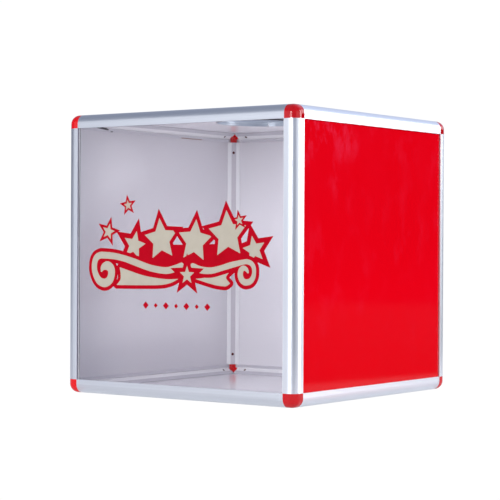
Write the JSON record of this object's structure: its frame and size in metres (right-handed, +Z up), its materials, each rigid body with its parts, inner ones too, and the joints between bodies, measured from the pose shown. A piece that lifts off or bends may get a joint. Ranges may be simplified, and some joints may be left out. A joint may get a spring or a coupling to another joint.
{
  "type": "donation box",
  "caption": "Cube donation box: aluminium rail frame, rounded red corner caps, glossy red boards, clear front window, round hand hole on top and a locking rear door.",
  "frame": {"origin": "centre of the square footprint, on the surface that the box stands on", "axes": "+Z up, -Y out through the clear window, +Y out through the rear door, +X to the right seen from the window side"},
  "size_m": [0.4, 0.4, 0.4],
  "materials": {
    "rail_aluminium": "satin anodised extrusion",
    "connector_red": "glossy injection-moulded",
    "clear_window": "clear polished acrylic",
    "board_red": "glossy red outside, pale grey inside",
    "stop_grey": "matte",
    "ring_silver": "silvered, semi-gloss",
    "hinge_steel": "brushed",
    "rivet_aluminium": "satin",
    "lock_chrome": "polished",
    "lock_brass": "nickel plated",
    "lock_steel": "zinc plated"
  },
  "bodies": {
    "box": {"base_panel": "board_red", "corner_front_left_bottom": "connector_red", "corner_front_left_top": "connector_red", "corner_front_right_bottom": "connector_red", "corner_front_right_top": "connector_red", "corner_rear_left_bottom": "connector_red", "corner_rear_left_top": "connector_red", "corner_rear_right_bottom": "connector_red", "corner_rear_right_top": "connector_red", "door_stop_frame": "stop_grey", "front_window": "clear_window", "hand_hole_ring": "ring_silver", "hinge_rivets_panel": "rivet_aluminium", "left_panel": "board_red", "lower_hinge_fixed_leaf": "hinge_steel", "lower_hinge_pin": "hinge_steel", "post_front_left": "rail_aluminium", "post_front_right": "rail_aluminium", "post_rear_left": "rail_aluminium", "post_rear_right": "rail_aluminium", "rail_front_bottom": "rail_aluminium", "rail_front_top": "rail_aluminium", "rail_left_bottom": "rail_aluminium", "rail_left_top": "rail_aluminium", "rail_rear_bottom": "rail_aluminium", "rail_rear_top": "rail_aluminium", "rail_right_bottom": "rail_aluminium", "rail_right_top": "rail_aluminium", "rear_panel": "board_red", "right_panel": "board_red", "top_panel": "board_red", "upper_hinge_fixed_leaf": "hinge_steel", "upper_hinge_pin": "hinge_steel"},
    "door": {"access_door": "board_red", "upper_hinge_door_leaf": "hinge_steel", "lower_hinge_door_leaf": "hinge_steel", "hinge_rivets_door": "rivet_aluminium", "lock_housing": "lock_chrome", "lock_nut": "lock_chrome"},
    "lock": {"lock_plug": "lock_brass", "lock_cam": "lock_steel", "lock_cam_screw": "lock_steel"}
  },
  "joints": [
    {"name": "door_hinge", "type": "hinge", "parent": "box", "child": "door", "pos_m": [0.0797, 0.1979, 0.2], "axis": [0, 0, -1], "range_deg": [0, 110]},
    {"name": "lock_turn", "type": "hinge", "parent": "door", "child": "lock", "pos_m": [-0.06, 0.1949, 0.2], "axis": [0, 1, 0], "range_deg": [0, 90]}
  ]
}
